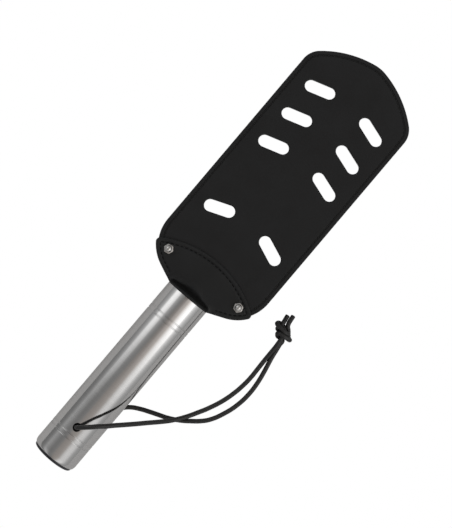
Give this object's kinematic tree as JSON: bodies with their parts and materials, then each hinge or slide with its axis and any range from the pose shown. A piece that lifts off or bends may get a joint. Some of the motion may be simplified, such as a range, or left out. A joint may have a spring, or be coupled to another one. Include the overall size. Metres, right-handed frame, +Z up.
{
  "type": "hand paddle",
  "caption": "Flat slotted leather-faced paddle blade with a stitched cuff, on a grooved steel tube handle with a knotted wrist cord.",
  "frame": {"origin": "centre of the paddle's footprint, without the wrist cord, on the surface that it lies on", "axes": "+Y along the handle towards the tip of the blade, +Z up through the front face of the blade, +X to the right seen from the front"},
  "size_m": [0.1414, 0.4, 0.0522],
  "materials": {
    "steel": "polished",
    "steel_pin": "ground",
    "plate_steel": "rolled",
    "bolt_steel": "polished",
    "insert_alloy": "machined",
    "plug_plastic": "moulded",
    "core_board": "pressed fibre board",
    "blade_leather": "fine grain, semi-matt",
    "cuff_leather": "fine grain, semi-matt",
    "thread": "waxed thread",
    "cord": "round waxed cord"
  },
  "bodies": {
    "root": {"handle_tube": "steel", "butt_plug": "plug_plastic", "head_plug": "insert_alloy", "lock_pins": "steel_pin", "cross_pins": "steel_pin", "tongue_plate": "plate_steel", "blade_core": "core_board", "blade_front_leather": "blade_leather", "blade_back_leather": "blade_leather", "blade_front_thread": "thread", "blade_back_thread": "thread", "cuff_front": "cuff_leather", "cuff_back": "cuff_leather", "cuff_front_thread": "thread", "cuff_back_thread": "thread", "clamp_bolts": "bolt_steel", "bolt_washers": "bolt_steel", "cap_nuts": "bolt_steel", "front_cord": "cord", "back_cord": "cord", "cord_knot": "cord"}
  },
  "joints": []
}
